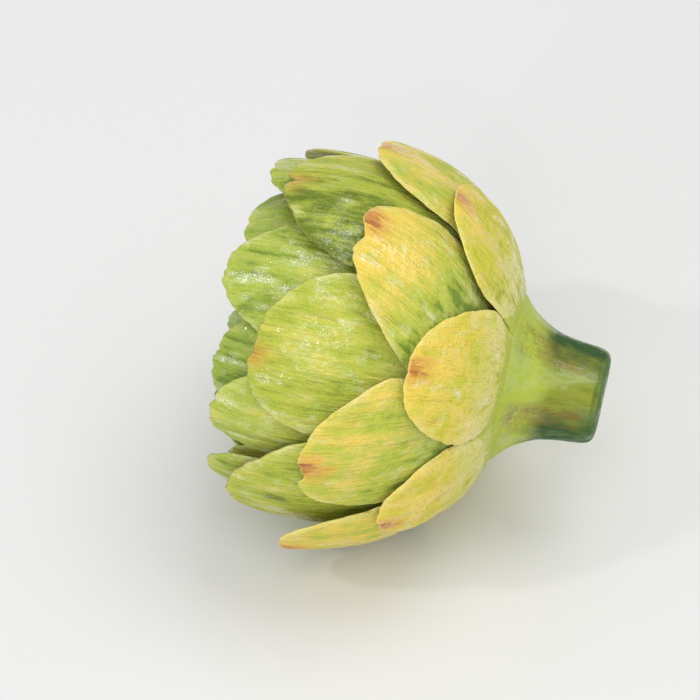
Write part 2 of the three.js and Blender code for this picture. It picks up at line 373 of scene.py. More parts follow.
colour = blended(edge_line * (1 - abs(flank)) * 0.5, colour, CUT_RIM)
colour = blended(step(height, 2.0, 1.0) * 0.85, colour, CUT_GREEN)
from_middle = (about_x * about_x + about_y * about_y) ** 0.5
cut_face = step(height, 0.5, 0.2) * step(from_middle, CUT_FACE_RADIUS, 9)
pith = grain(joined(about_x / 0.7, 0.0, about_y / 0.7), 1.0, 3.0, 0.6)
colour = blended(cut_face * step(pith, 0.3, 0.6) * 0.8, colour, PITH)
bundles = step(abs(from_middle - BUNDLE_RING), 1.2, 0) * step(pith, 0.5, 0.65)
colour = blended(cut_face * bundles * 0.6, colour, BUNDLE_OLIVE)
wet = step(mottled + (lines["Band"] - 0.5) * 0.7, 0.5, 0.6)
swelling = grain(joined(about_x / 2, height / 7, about_y / 2), 1.0, 2.0, 0.5)
finish_skin(
    tree, shader, colour, 0.5 - wet * 0.12, lines["Fibre"] * 0.7 + lines["Band"] * 1.4,
    swelling + mottled, 0.0005,
)
wire(shader.inputs["Coat Weight"], 0.06 + wet * 0.55)
shader.inputs["Coat Roughness"].default_value = 0.08
shader.inputs["Specular IOR Level"].default_value = 0.2

STALK_SIDES = 120
STEPS_PER_STRETCH = 6
SOFTENING_ROUNDS = 6
CUT_FACE_DEPTH = 0.05


def length_along(points):
    """How far each point of an outline lies from the first, along it."""
    return np.concatenate([[0], np.cumsum(np.hypot(*np.diff(points, axis=0).T))])


def around(radius, azimuth, height):
    """A point beside the middle line of the head, laid down with it."""
    return laid_down @ Vector((radius * math.cos(azimuth), radius * math.sin(azimuth), height))


def turned_faces(rings, sides):
    """The faces of rings of points that are closed by two middle points, the last ones."""
    faces = [
        (
            ring * sides + index,
            ring * sides + (index + 1) % sides,
            (ring + 1) * sides + (index + 1) % sides,
            (ring + 1) * sides + index,
        )
        for ring in range(rings - 1)
        for index in range(sides)
    ]
    first_middle, last_middle, last_ring = rings * sides, rings * sides + 1, (rings - 1) * sides
    faces += [(first_middle, (index + 1) % sides, index) for index in range(sides)]
    faces += [
        (last_middle, last_ring + index, last_ring + (index + 1) % sides) for index in range(sides)
    ]
    return faces


outline = np.array(STALK_OUTLINE, float)
length = length_along(outline)
fine_steps = np.unique([np.linspace(a, b, STEPS_PER_STRETCH) for a, b in zip(length, length[1:])])
softened = np.stack([np.interp(fine_steps, length, outline[:, k]) for k in (0, 1)], 1)
for _ in range(SOFTENING_ROUNDS):
    inner = 0.25 * softened[:-2] + 0.5 * softened[1:-1] + 0.25 * softened[2:]
    beside_cut = (softened[1:-1, 0] > CUT_FACE_DEPTH)[:, None]
    softened[1:-1] = np.where(beside_cut, inner, softened[1:-1])
stalk_points, stalk_marks, stalk_grain = [], [], []
for stalk_height, stalk_radius in softened[1:-1]:
    share = math.sin(math.pi * stalk_height / LIP_HEIGHT) if stalk_height < LIP_HEIGHT else 0
    for index in range(STALK_SIDES):
        azimuth = 2 * math.pi * index / STALK_SIDES
        swell = math.cos(STALK_RIDGES * azimuth)
        ripple = RIPPLE_DEPTH * math.sin(RIPPLES * azimuth + stalk_height * RIPPLE_TWIST) * share
        ridge = RIDGE_DEPTH * share * swell * min(1, stalk_radius / FULL_RIDGE_RADIUS)
        radius = stalk_radius + ridge + ripple
        stalk_points.append(around(radius, azimuth, stalk_height))
        stalk_marks.append((0.5 - 0.5 * swell, math.sin(azimuth), 0))
        stalk_grain.append((radius * math.cos(azimuth), stalk_height, radius * math.sin(azimuth)))
for end_height in (softened[0][0], softened[-1][0]):
    stalk_points.append(around(0, 0, end_height))
    stalk_marks.append((0, 0, 0))
    stalk_grain.append((0, end_height, 0))
stalk_faces = turned_faces(len(softened) - 2, STALK_SIDES)


def solid_piece(name, points, faces, marks, material):
    """A piece from its points and faces, with vectors marked on every point."""
    mesh = bpy.data.meshes.new(name)
    mesh.from_pydata([tuple(p) for p in points], [], faces)
    for mark_name, values in marks.items():
        mark = mesh.attributes.new(mark_name, "FLOAT_VECTOR", "POINT")
        mark.data.foreach_set("vector", np.array(values, np.float32).ravel())
    mesh.materials.append(material)
    mesh.polygons.foreach_set("use_smooth", [True] * len(mesh.polygons))
    mesh.update()
    piece = bpy.data.objects.new(name, mesh)
    bpy.context.collection.objects.link(piece)
    return piece


stalk = solid_piece(
    "stalk", stalk_points, stalk_faces, {"stalk": stalk_marks, "grain": stalk_grain},
    stalk_material,
)
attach(stalk, "root")
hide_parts("stalk_and_heart")


# The basal bracts, the lowest and shortest leaves: thick, leathery scales with a rounded
# edge, ripened to yellow, whose bases grow out of the neck of the stalk. All the leaves of
# the head grow by the same rule, so the tree that shapes a leaf is made here.
PER_WHORL = 6
TURN_SPREAD = 2
SKEW_SPREAD = 4
REACH_SPREAD = 0.015
SEED = 7
SEED_STEP = 3.7
BASE_SINK = 0.11
EDGE_THINNING = 0.45
SIDE_ROUNDING = 2.6
TIP_ROUNDING = 2.2
SEAM_ROUNDING = 0.15
GAP = 0.12
BASE_OVERLAP = 0.04
FRAY_DEPTH = 0.04
FINE_FRAY_DEPTH = 0.03
NICK_DEPTH = 2
GRAIN_ALONG = 75
SEED_APART = 20
WELD = 0.002
LEAF_SIZES = {
    "Turn": 0, "Skew": 0, "Lean": 0, "Reach": 1, "Half Width": 20, "Base Share": 0.5,
    "Shoulder": 0.5, "Round": 2.2, "Notch": 0.008, "Notch Place": 0, "Notch Width": 0.1,
    "Edge": 0, "Tilt": 0, "Lift": 0, "Low": 1, "High": 1, "Room Below": 0.5,
    "Room Below Change": 0, "Room Above": 0.5, "Room Above Change": 0, "Height 0": 25,
    "Height 1": 30, "Height 2": 40, "Height 3": 50, "Radius 0": 20, "Radius 1": 30,
    "Radius 2": 40, "Radius 3": 50, "Base Thickness": 2, "Tip Thickness": 1.2, "Wave": 0.8,
    "Ribs": 0.35, "Seed": 0, "Ripeness": 0.5, "Fading": 0.3, "Frost And Glints": 0.3,
    "Blush": 0, "Blush Place": -0.08, "Painted Light Side": 0,
}

leaf, given, out = node_group(
    "leaf",
    {
        **{name: "Float" for name in LEAF_SIZES},
        "Across Steps": "Int", "Along Steps": "Int", "Skin": "Material",
    },
    {"Leaf": "Geometry"},
    kind="GeometryNodeTree",
)
sheet = leaf.nodes.new("GeometryNodeMeshGrid")
sheet.inputs["Size X"].default_value = 2
sheet.inputs["Size Y"].default_value = 1
wire(sheet.inputs["Vertices X"], given["Across Steps"])
wire(sheet.inputs["Vertices Y"], given["Along Steps"])
u, v, _ = parted(Value(leaf.nodes.new("GeometryNodeInputPosition").outputs[0]))
u = sine(u * (math.pi / 2))
v = sine((v + 0.5) * (math.pi / 2))

wavy = grain(joined(u * 2.4, v * 2.0, given["Seed"]), 1.0, 2.0, 0.5) - 0.5
off_point = u - given["Lean"] * (1 - u * u)
dome = most(1 - abs(off_point) ** given["Round"], 0) ** 0.5
outline_share = given["Shoulder"] + (1 - given["Shoulder"]) * dome
dip = (u - given["Notch Place"]) / given["Notch Width"]
fray = most(grain(joined(u * 3.2, 0.0, given["Seed"] + 9), 1.0, 3.0, 0.6) - 0.34, 0)
fine_fray = most(grain(joined(u * 9, 0.0, given["Seed"]), 1.0, 2.0, 0.6) - 0.42, 0)
frayed = fray * FRAY_DEPTH + fine_fray * FINE_FRAY_DEPTH
reach = outline_share * given["Reach"] - given["Notch"] * calculate("EXPONENT", -(dip * dip))
reach = reach - frayed
t = v * (reach + BASE_SINK) - BASE_SINK
s = 1 - t


def cubic(name):
    """A cubic curve through four sizes, and its slope."""
    a, b, c, d = (given[f"{name} {k}"] for k in range(4))
    place = s * s * s * a + s * s * t * 3 * b + s * t * t * 3 * c + t * t * t * d
    slope = s * s * 3 * (b - a) + s * t * 6 * (c - b) + t * t * 3 * (d - c)
    return place, slope


midrib_height, rise = cubic("Height")
midrib_radius, spread = cubic("Radius")
pace = (rise * rise + spread * spread) ** 0.5
rise, spread = rise / pace, spread / pace
grown = most(t, 0)
settled = sine(least(grown / 0.4, 1) * (math.pi / 2))
opening = sine(least(grown / given["Shoulder"], 1) * (math.pi / 2))
width = given["Half Width"] * (given["Base Share"] + (1 - given["Base Share"]) * opening)
upper = step(u, -0.001, 0.001)
width = width * (given["Low"] + (given["High"] - given["Low"]) * upper)
ribs = grain(joined(u * width * 0.35, t * 1.5, given["Seed"] + 3), 1.0, 2.0, 0.5) - 0.5
stand = 2 * given["Lift"] * t * t * t
stand = stand + (given["Edge"] * u * u + given["Tilt"] * u) * settled
stand = stand + (wavy * given["Wave"] + ribs * given["Ribs"]) * settled
height = midrib_height - spread * stand
radius = midrib_radius + rise * stand
room_below = given["Room Below"] + given["Room Below Change"] * t
room_above = given["Room Above"] + given["Room Above Change"] * t
room_here = room_below + (room_above - room_below) * upper
grown_in = step(t, 0.13, 0.04)
width = least(width, radius * room_here - GAP + (GAP + BASE_OVERLAP) * grown_in)
nicks = most(grain(joined(t * 13, upper * 5, given["Seed"] + 6), 1.0, 1.0, 0.6) - 0.4, 0)
width = width - nicks * NICK_DEPTH * step(t, 0.4, 0.6)
across = u * width
azimuth = (given["Turn"] + given["Skew"] * t) * (math.pi / 180) + across / radius
blade = leaf.nodes.new("GeometryNodeSetPosition")
leaf.links.new(sheet.outputs["Mesh"], blade.inputs["Geometry"])


def rounded(distance, reach_in):
    """A share of the thickness that rises from none at an edge, as a rounded edge does."""
    left = 1 - least(distance / reach_in, 1)
    return most(1 - left * left, 0) ** 0.5


span = (reach + BASE_SINK) * pace
from_side = (1 - abs(u)) * width
from_tip = (1 - v) * span
thickness = given["Base Thickness"] + (given["Tip Thickness"] - given["Base Thickness"]) * v
thickness = thickness * (1 - EDGE_THINNING * u * u)
edge_round = SIDE_ROUNDING - (SIDE_ROUNDING - SEAM_ROUNDING) * grown_in
thickness = thickness * rounded(from_side, edge_round) * rounded(from_tip, TIP_ROUNDING)
thickness = thickness * rounded(v * span, TIP_ROUNDING)
marks = {
    "leaf": joined(u, t, least(from_side, from_tip)),
    "grain": joined(u * given["Half Width"], t * GRAIN_ALONG, given["Seed"] * SEED_APART),
    "tone": joined(given["Ripeness"], given["Frost And Glints"], given["Fading"]),
    "spot": joined(given["Blush"], given["Blush Place"], given["Painted Light Side"]),
    "thickness": joined(thickness, 0, 0),
}
geometry = sheet.outputs["Mesh"]
for mark_name, value in marks.items():
    store = leaf.nodes.new("GeometryNodeStoreNamedAttribute")
    store.data_type = "FLOAT_VECTOR"
    store.inputs["Name"].default_value = mark_name
    leaf.links.new(geometry, store.inputs["Geometry"])
    wire(store.inputs["Value"], value)
    geometry = store.outputs["Geometry"]
leaf.links.new(geometry, blade.inputs["Geometry"])
wire(
    blade.inputs["Position"],
    joined(radius * cosine(azimuth), radius * sine(azimuth), height),
)
normal = Value(leaf.nodes.new("GeometryNodeInputNormal").outputs[0])
stored = leaf.nodes.new("GeometryNodeInputNamedAttribute")
stored.data_type = "FLOAT_VECTOR"
stored.inputs["Name"].default_value = "thickness"
half = parted(Value(stored.outputs["Attribute"]))[0] * 0.5
both = leaf.nodes.new("GeometryNodeJoinGeometry")
for direction in (1, -1):
    scaled = leaf.nodes.new("ShaderNodeVectorMath")
    scaled.operation = "SCALE"
    wire(scaled.inputs[0], normal)
    wire(scaled.inputs["Scale"], half * direction)
    face = leaf.nodes.new("GeometryNodeSetPosition")
    leaf.links.new(blade.outputs["Geometry"], face.inputs["Geometry"])
    leaf.links.new(scaled.outputs[0], face.inputs["Offset"])
    outer = leaf.nodes.new("GeometryNodeStoreNamedAttribute")
    outer.data_type = "FLOAT"
    outer.inputs["Name"].default_value = "outer"
    outer.inputs["Value"].default_value = max(0, direction)
    leaf.links.new(face.outputs["Geometry"], outer.inputs["Geometry"])
    geometry = outer.outputs["Geometry"]
    if direction < 0:
        flip = leaf.nodes.new("GeometryNodeFlipFaces")
        leaf.links.new(geometry, flip.inputs["Mesh"])
        geometry = flip.outputs["Mesh"]
    leaf.links.new(geometry, both.inputs["Geometry"])
closed = leaf.nodes.new("GeometryNodeMergeByDistance")
closed.inputs["Distance"].default_value = WELD
leaf.links.new(both.outputs["Geometry"], closed.inputs["Geometry"])
laid = leaf.nodes.new("GeometryNodeTransform")
laid.inputs["Translation"].default_value = laid_down.translation
laid.inputs["Rotation"].default_value = laid_down.to_euler()
laid.inputs["Scale"].default_value = (MM, MM, MM)
leaf.links.new(closed.outputs["Geometry"], laid.inputs["Geometry"])
x, y, z = parted(Value(leaf.nodes.new("GeometryNodeInputPosition").outputs[0]))
pressed = leaf.nodes.new("GeometryNodeSetPosition")
leaf.links.new(laid.outputs["Geometry"], pressed.inputs["Geometry"])
wire(pressed.inputs["Position"], joined(x, y, most(z, 0)))
smooth = leaf.nodes.new("GeometryNodeSetShadeSmooth")
leaf.links.new(pressed.outputs["Geometry"], smooth.inputs["Geometry"])
realized = leaf.nodes.new("GeometryNodeRealizeInstances")
leaf.links.new(smooth.outputs["Geometry"], realized.inputs["Geometry"])
covered = leaf.nodes.new("GeometryNodeSetMaterial")
leaf.links.new(realized.outputs["Geometry"], covered.inputs["Geometry"])
wire(covered.inputs["Material"], given["Skin"])
leaf.links.new(covered.outputs["Geometry"], out.inputs["Leaf"])


def repeatable_draws(drawn):
    """Draws from -1 to 1, the same ones that the solids were given."""
    while True:
        drawn = (drawn * 1664525 + 1013904223) % 2**32
        yield drawn / 2**31 - 1


draws = repeatable_draws(SEED)


def room_between(leaf_here, neighbour):
    """A leaf's share of the angle to its neighbour, at the base and how it changes."""
    turned = (neighbour["Turn"] - leaf_here["Turn"] + 180) % 360 - 180
    change = neighbour["Skew"] - leaf_here["Skew"]
    if turned < 0:
        turned, change = -turned, -change
    share = leaf_here["Claim"] / (leaf_here["Claim"] + neighbour["Claim"])
    return math.radians(turned) * share, math.radians(change) * share


def grow_whorl(name, slot, skin, midrib, first_turn, shaped, steps, **sizes):
    """Makes a whorl of leaves by the leaf tree, each a plain mesh of its own."""
    whorl = []
    for index in range(PER_WHORL):
        strayed = {
            "Turn": first_turn + 360 / PER_WHORL * index + TURN_SPREAD * next(draws),
            "Skew": SKEW_SPREAD * next(draws),
            "Reach": 1 + REACH_SPREAD * next(draws),
        }
        own = {"Skew": 0, "Reach": 1, **shaped[index + 1]} if index + 1 in shaped else strayed
        seed = len(name) + index * SEED_STEP
        whorl.append({**LEAF_SIZES, "Claim": 1, **sizes, **own, "Seed": seed})
    for index, values in enumerate(whorl):
        before, after = whorl[index - 1], whorl[(index + 1) % PER_WHORL]
        values["Room Below"], values["Room Below Change"] = room_between(values, before)
        values["Room Above"], values["Room Above Change"] = room_between(values, after)
        midrib_here = values.get("Midrib", midrib)
        for k, (height_k, radius_k) in enumerate(midrib_here):
            values[f"Height {k}"], values[f"Radius {k}"] = height_k, radius_k
    for index, values in enumerate(whorl):
        piece_name = f"{name}_{index + 1}"
        host = bpy.data.objects.new("host", bpy.data.meshes.new("host"))
        bpy.context.collection.objects.link(host)
        modifier = host.modifiers.new("leaf", "NODES")
        modifier.node_group = leaf
        sockets = {s.name: s.identifier for s in leaf.interface.items_tree if s.in_out == "INPUT"}
        across_steps, along_steps = steps[index + 1] if index + 1 in steps else steps[0]
        modifier[sockets["Across Steps"]] = across_steps
        modifier[sockets["Along Steps"]] = along_steps
        modifier[sockets["Skin"]] = skin
        for size_name in LEAF_SIZES:
            modifier[sockets[size_name]] = float(values[size_name])
        shown = host.evaluated_get(bpy.context.evaluated_depsgraph_get())
        mesh = bpy.data.meshes.new_from_object(shown)
        bpy.data.objects.remove(host)
        mesh.name = piece_name
        mesh.attributes.remove(mesh.attributes["thickness"])
        piece = bpy.data.objects.new(piece_name, mesh)
        bpy.context.collection.objects.link(piece)
        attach(piece, "root")
        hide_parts(piece_name.replace("_leaf", "_bract"))


# Frost, painted glints and sheen: fine whitish grains in drifts, some drawn out along the fibres.
frost_and_glints, given, out = node_group(
    "frost_and_glints", {"Place": "Vector", "Amount": "Float"}, {"Grains": "Float", "Drift": "Float"}
)
side, along, other = parted(given["Place"])
drift = grain(joined(side / 5, along / 8, other), 1.0, 3.0, 0.6)
drift = step(drift + given["Amount"] * 0.3, 0.66, 0.84)
fleck = grain(joined(side / 0.3, along / 0.36, other), 1.0, 1.0, 0.5)
crust = grain(joined(side / 0.5, along / 1.6, other + 3), 1.0, 2.0, 0.6)
wire(out.inputs["Grains"], drift * clamped(step(fleck, 0.52, 0.6) + step(crust, 0.58, 0.66)))
wire(out.inputs["Drift"], drift)

# The brown blush where the point of a leaf has dried.
blush, given, out = node_group(
    "blush",
    {"Leaf": "Vector", "Place": "Vector", "Amount": "Float", "Spot Place": "Float"},
    {"Halo": "Float", "Core": "Float"},
)
u, t, edge = parted(given["Leaf"])
side, along, other = parted(given["Place"])
cloud = grain(joined(side / 3, along / 5, other), 1.0, 2.0, 0.5)
lined = grain(joined(side / 0.8, along / 8, other + 4), 1.0, 3.0, 0.6)
near = step(edge, 9, 1) * step(abs(u - given["Spot Place"]), 0.28, 0.0) * step(t, 0.5, 0.7)
wide = step(edge, 14, 0) * step(abs(u - given["Spot Place"]), 0.4, 0.0) * step(t, 0.5, 0.7)
halo = step(wide + (cloud - 0.5) * 0.7 + (lined - 0.5) * 0.6, 0.15, 0.8)
patch = step(near * 0.9 + (cloud - 0.5) * 0.9 + (lined - 0.5) * 2, 0.45, 1.1)
wire(out.inputs["Halo"], clamped(halo * wide * 2 * given["Amount"]))
wire(out.inputs["Core"], clamped(near * 2 * patch * given["Amount"]))


FROST_AND_SHEEN_VEIL = linear(206, 220, 160)
FROST_AND_GLINT_WHITE = linear(248, 250, 228)
BLUSH_ORANGE = linear(226, 168, 74)
BLUSH_RED = linear(190, 98, 56)
BURNT_BROWN = linear(140, 62, 34)
RUST = linear(172, 106, 50)
ON_NECK_GREEN = linear(200, 209, 88)
INNER_FACE = linear(178, 176, 96)


def leaf_skin(name, ripe, green, deep, pale, margin, collar=0):
    """The skin of a whorl's leaves: fibres, ripening, bloom, frost, blush and a thin edge, with
    painted light and shade.
    """
    material, tree, shader = skin_material(name)
    place = marked(tree, "grain")
    on_leaf = marked(tree, "leaf")
    ripeness, frost_and_glint_amount, fading = parted(marked(tree, "tone"))
    blushing, spot_place, painted_light_side = parted(marked(tree, "spot"))
    outer = marked(tree, "outer", "Fac")
    u, t, edge = parted(on_leaf)
    side, along, other = parted(place)
    lines = use_group(tree, streaks, Place=place, Width=1.0)
    cloud = grain(joined(side / 9, along / 16, other + 2), 1.0, 2.0, 0.5)
    mist = grain(joined(side / 3.4, along / 6.5, other + 11), 1.0, 4.0, 0.62)
    # Ripening turns a leaf from deep green to yellow, in clouds, bands and towards its point.
    ripened = ripeness + (t - 0.75) * fading * 2 + (lines["Band"] - 0.5) * 1.5
    ripened = ripened + (cloud - 0.5) * 1.5 + (mist - 0.5) * 1.7 + (lines["Fibre"] - 0.5) * 0.8
    # Painted light and shade: the side term makes one side of some leaves yellower and the other
    # deeper green, for how light falls across them.
    ripened = ripened + step(edge, 4, 0) * 0.2 + u * painted_light_side
    colour = blended(step(ripened, -0.3, 0.4), deep, green)
    colour = blended(step(ripened, 0.3, 1.1), colour, ripe)
    # Fibres show as darker and paler lines, with a fine speckle over them.
    streaky = step(mist, 0.4, 0.6)
    colour = blended(step(lines["Fibre"], 0.54, 0.7) * streaky * 0.55, colour, deep)
    colour = blended(step(lines["Hair"], 0.52, 0.7) * (streaky * 0.35 + 0.1), colour, deep)
    colour = blended(step(lines["Hair"], 0.46, 0.3) * 0.15, colour, pale)
    speck = grain(joined(side / 0.4, along / 0.4, other), 1.0, 1.0, 0.5)
    colour = blended(step(speck, 0.5, 0.75) * 0.2, colour, pale)
    colour = blended(step(speck, 0.46, 0.25) * 0.3, colour, deep)
    # A pale bloom lies where the leaf was covered, and along its sides.
    # Partly painted light: the base is kept paler to lift the shade that the leaves over it cast,
    # and the pale along the sides stands partly for highlights on the edges.
    rim_bloom_and_highlight = step(edge, 5, 0.5) * step(mist, 0.38, 0.58) * step(abs(u), 0.3, 0.7)
    bloom_and_lift = clamped(step(t, 0.6, 0.2) * 0.8 + rim_bloom_and_highlight * 0.6) * step(ripened, -0.2, 0.5)
    colour = blended(bloom_and_lift * 0.8, colour, pale)
    frost_and_glint_marks = use_group(tree, frost_and_glints, Place=place, Amount=frost_and_glint_amount)
    # Painted glints and sheen: the frost's white grains and pale veil also stand where light would
    # gleam off the wet skin.
    veil_and_sheen = frost_and_glint_marks["Drift"] * frost_and_glint_amount * 0.3
    colour = blended(veil_and_sheen, colour, FROST_AND_SHEEN_VEIL)
    colour = blended(frost_and_glint_marks["Grains"] * 0.8, colour, FROST_AND_GLINT_WHITE)
    # The point dries red-brown, old scratches rust, and the rim is a thin line.
    spot = use_group(
        tree, blush, Leaf=on_leaf, Place=place, Amount=blushing, Spot_Place=spot_place
    )
    colour = blended(spot["Halo"] * 0.6, colour, BLUSH_ORANGE)
    colour = blended(spot["Core"] * 0.6, colour, BLUSH_RED)
    burnt = spot["Core"] * step(lines["Fibre"], 0.5, 0.6)
    colour = blended(burnt * 0.45, colour, BURNT_BROWN)
    rust = grain(joined(side / 0.5, along / 7, other + 7), 1.0, 2.0, 0.5)
    rust = step(rust, 0.68, 0.76) * step(cloud, 0.42, 0.56)
    colour = blended(rust * 0.5, colour, RUST)
    # Partly painted shade: the darker rim colour of the middle and upper leaves stands for the
    # crack where a leaf lies on the next, as well as a browned edge.
    colour = blended(step(edge, 0.45, 0.15) * 0.65, colour, margin)
    # A basal leaf grows out of the neck, with the neck's green up to a pale line.
    if collar:
        grown_over = collar + u * u * u * u * 0.15 + (lines["Fibre"] - 0.5) * 0.03
        colour = blended(step(abs(t - grown_over), 0.014, 0.003) * 0.5, colour, pale)
        on_neck = step(t - grown_over, 0.005, -0.02)
        colour = blended(on_neck, colour, ON_NECK_GREEN)
        colour = blended(on_neck * step(lines["Band"], 0.5, 0.7) * 0.3, colour, green)
    colour = blended((1 - outer) * 0.8, colour, INNER_FACE)
    # The skin is crinkled, and wet in patches.
    crinkle = grain(joined(side / 1.6, along / 2.4, other + 5), 1.0, 2.0, 0.6)
    wet = step(cloud + (lines["Band"] - 0.5) * 0.6, 0.48, 0.56) * step(crinkle, 0.42, 0.5)
    relief = lines["Hair"] * 0.3 + lines["Fibre"] + lines["Band"] * 2 + crinkle * 0.7
    swelling = grain(joined(side / 4.6, along / 24, other + 8), 1.0, 2.0, 0.5)
    film = swelling + crinkle * 0.7
    finish_skin(tree, shader, colour, 0.5 - wet * 0.12, relief, film, 0.0006)
    wire(shader.inputs["Coat Weight"], wet)
    shader.inputs["Coat Roughness"].default_value = 0.05
    shader.inputs["Specular IOR Level"].default_value = 0.15
    return material


basal_skin = leaf_skin(
    "basal_skin", linear(244, 214, 88), linear(208, 208, 66), linear(166, 164, 40),
    linear(236, 230, 150), linear(238, 220, 130), 0.12,
)
grow_whorl(
    "basal_leaf", "basal_skin", basal_skin,
    [(25.9, 21.8), (28.4, 33), (36.7, 42.9), (47.4, 48.7)], -5,
    {
        1: {
            "Turn": -2.5, "Skew": -3, "Reach": 1.02, "Round": 2.5, "Blush": 1,
            "Blush Place": 0.08, "Ripeness": 0.8, "Frost And Glints": 0.42,
        },
        2: {
            "Turn": 56, "Skew": 5, "Half Width": 19.5, "Low": 1.1, "Round": 2.5, "Notch": 0,
            "Blush": 0.8, "Ripeness": 0.6, "Frost And Glints": 0.2, "Ribs": 0.8,
        },
        3: {"Turn": 120, "Lift": 1},
        5: {"Turn": 226, "Reach": 0.94, "Lift": 2.2, "Half Width": 20},
        6: {
            "Turn": -62, "Skew": 2, "Reach": 1.04, "Half Width": 17, "Lean": 0.1, "Notch": 0,
            "High": 1.12, "Edge": -0.8, "Blush": 1, "Ripeness": 0.8, "Ribs": 0.8,
        },
    },
    {0: (40, 40), 1: (80, 72), 2: (72, 72), 6: (72, 72)},
    **{
        "Half Width": 18, "Base Share": 0.62, "Shoulder": 0.42, "Edge": 0.2, "Tilt": 0,
        "Base Thickness": 1.9, "Tip Thickness": 1.3, "Ripeness": 0.6, "Wave": 0.5,
    },
)


# The lower bracts, the next whorl: longer leaves that stand off the head and show it at
# its widest. They are yellow towards their points, and green where they were covered.
lower_skin = leaf_skin(
    "lower_skin", linear(242, 212, 92), linear(190, 200, 72), linear(114, 142, 44),
    linear(226, 230, 158), linear(238, 220, 130),
)
grow_whorl(
    "lower_leaf", "lower_skin", lower_skin,
    [(28.9, 21), (32.9, 39.5), (46.9, 50), (68.9, 52)], 25,
    {
        1: {
            "Turn": 5, "Skew": 22, "Reach": 0.985, "Half Width": 19.5, "Base Share": 0.78,
            "High": 1.15, "Round": 2.6, "Lean": 0.2, "Notch": 0.035, "Notch Place": 0.2,
            "Notch Width": 0.14, "Blush": 1, "Blush Place": 0.42, "Ripeness": 0.7,
            "Fading": 1.05, "Frost And Glints": 0.38, "Painted Light Side": 0.32,
        },
        2: {
            "Turn": 73, "Skew": 4, "Reach": 1.02, "Half Width": 20, "Base Share": 0.3,
            "Shoulder": 0.7, "Round": 2.6, "Edge": -0.5, "Tilt": 1.7, "Blush": 0.7,
            "Midrib": [(28.9, 21), (32.8, 40), (46.6, 51), (68.8, 52.2)], "Ripeness": 0.65,
        },
        3: {"Turn": 134, "Skew": -5, "Lift": 2},
        4: {"Turn": 210, "Skew": 4},
        5: {
            "Turn": -80.5, "Reach": 1.065, "Half Width": 23.5, "Round": 3.4, "Lean": 0.12,
            "Lift": 1.5, "Blush": 1, "Blush Place": 0.1, "Ripeness": 0.85, "Frost And Glints": 0.2,
        },
        6: {
            "Turn": -22, "Skew": -15, "Reach": 1.01, "Half Width": 21.5, "Low": 1.06,
            "Round": 3, "Lean": -0.12, "Notch": 0.025, "Notch Place": -0.25, "Blush": 1,
            "Ripeness": 0.55, "Fading": 0.5,
        },
    },
    {0: (44, 44), 1: (88, 88), 2: (72, 72), 5: (64, 72), 6: (88, 88)},
    **{
        "Half Width": 19.5, "Base Share": 0.5, "Shoulder": 0.5, "Edge": -1.2, "Tilt": 0,
        "Base Thickness": 2.1, "Tip Thickness": 1.4, "Ripeness": 0.5, "Wave": 0.8,
    },
)


# The middle bracts, the longest and broadest leaves: they wrap the body of the head, and
# are green, with a paler bloom along the edges that lay under their neighbours.
# Their dark margin colour is partly a browned edge and partly painted shade in the crack along it.
middle_skin = leaf_skin(
    "middle_skin", linear(216, 208, 88), linear(180, 192, 66), linear(102, 122, 26),
    linear(228, 232, 168), linear(150, 138, 84),
)
grow_whorl(
    "middle_leaf", "middle_skin", middle_skin,
    [(31.9, 19.7), (34.3, 41), (63.4, 52.6), (89.9, 43.5)], -5,
    {
        1: {
            "Turn": -8.5, "Reach": 0.965, "Round": 2.4, "Shoulder": 0.7, "Lean": -0.12,
            "Edge": 0, "Tilt": 0, "Claim": 0.93, "Blush": 0.35, "Ripeness": 0.5, "Frost And Glints": 0.4,
            "Fading": 0.0,
        },
        2: {
            "Turn": 58, "Skew": -5, "Reach": 0.99, "Half Width": 27, "Low": 1.12,
            "Round": 1.95, "Shoulder": 0.68, "Lift": 1, "Edge": 0, "Tilt": 0, "Notch": 0.022,
            "Notch Width": 0.05, "Notch Place": -0.05, "Blush": 0.3, "Ripeness": 0.3,
            "Fading": 0, "Frost And Glints": 0.32, "Painted Light Side": 0.8,
        },
        3: {"Turn": 108, "Reach": 1.01, "Lift": 2},
        6: {
            "Turn": -55.5, "Skew": -11.5, "Reach": 0.985, "Half Width": 26.5,
            "Base Share": 0.6, "Round": 2.6, "Shoulder": 0.66, "Lean": -0.18, "Lift": 1,
            "Edge": -0.3, "Tilt": 0, "Claim": 1.25, "Notch": 0.012, "Notch Place": -0.3,
            "Ripeness": 0.5, "Frost And Glints": 0.4,
        },
    },
    {0: (44, 44), 1: (96, 96), 2: (96, 96), 3: (64, 64), 6: (88, 88)},
    **{
        "Half Width": 24, "Base Share": 0.42, "Shoulder": 0.55, "Edge": -1.6, "Tilt": 0.7,
        "Base Thickness": 2.2, "Tip Thickness": 1.3, "Ripeness": 0.35, "Wave": 0.9,
    },
)


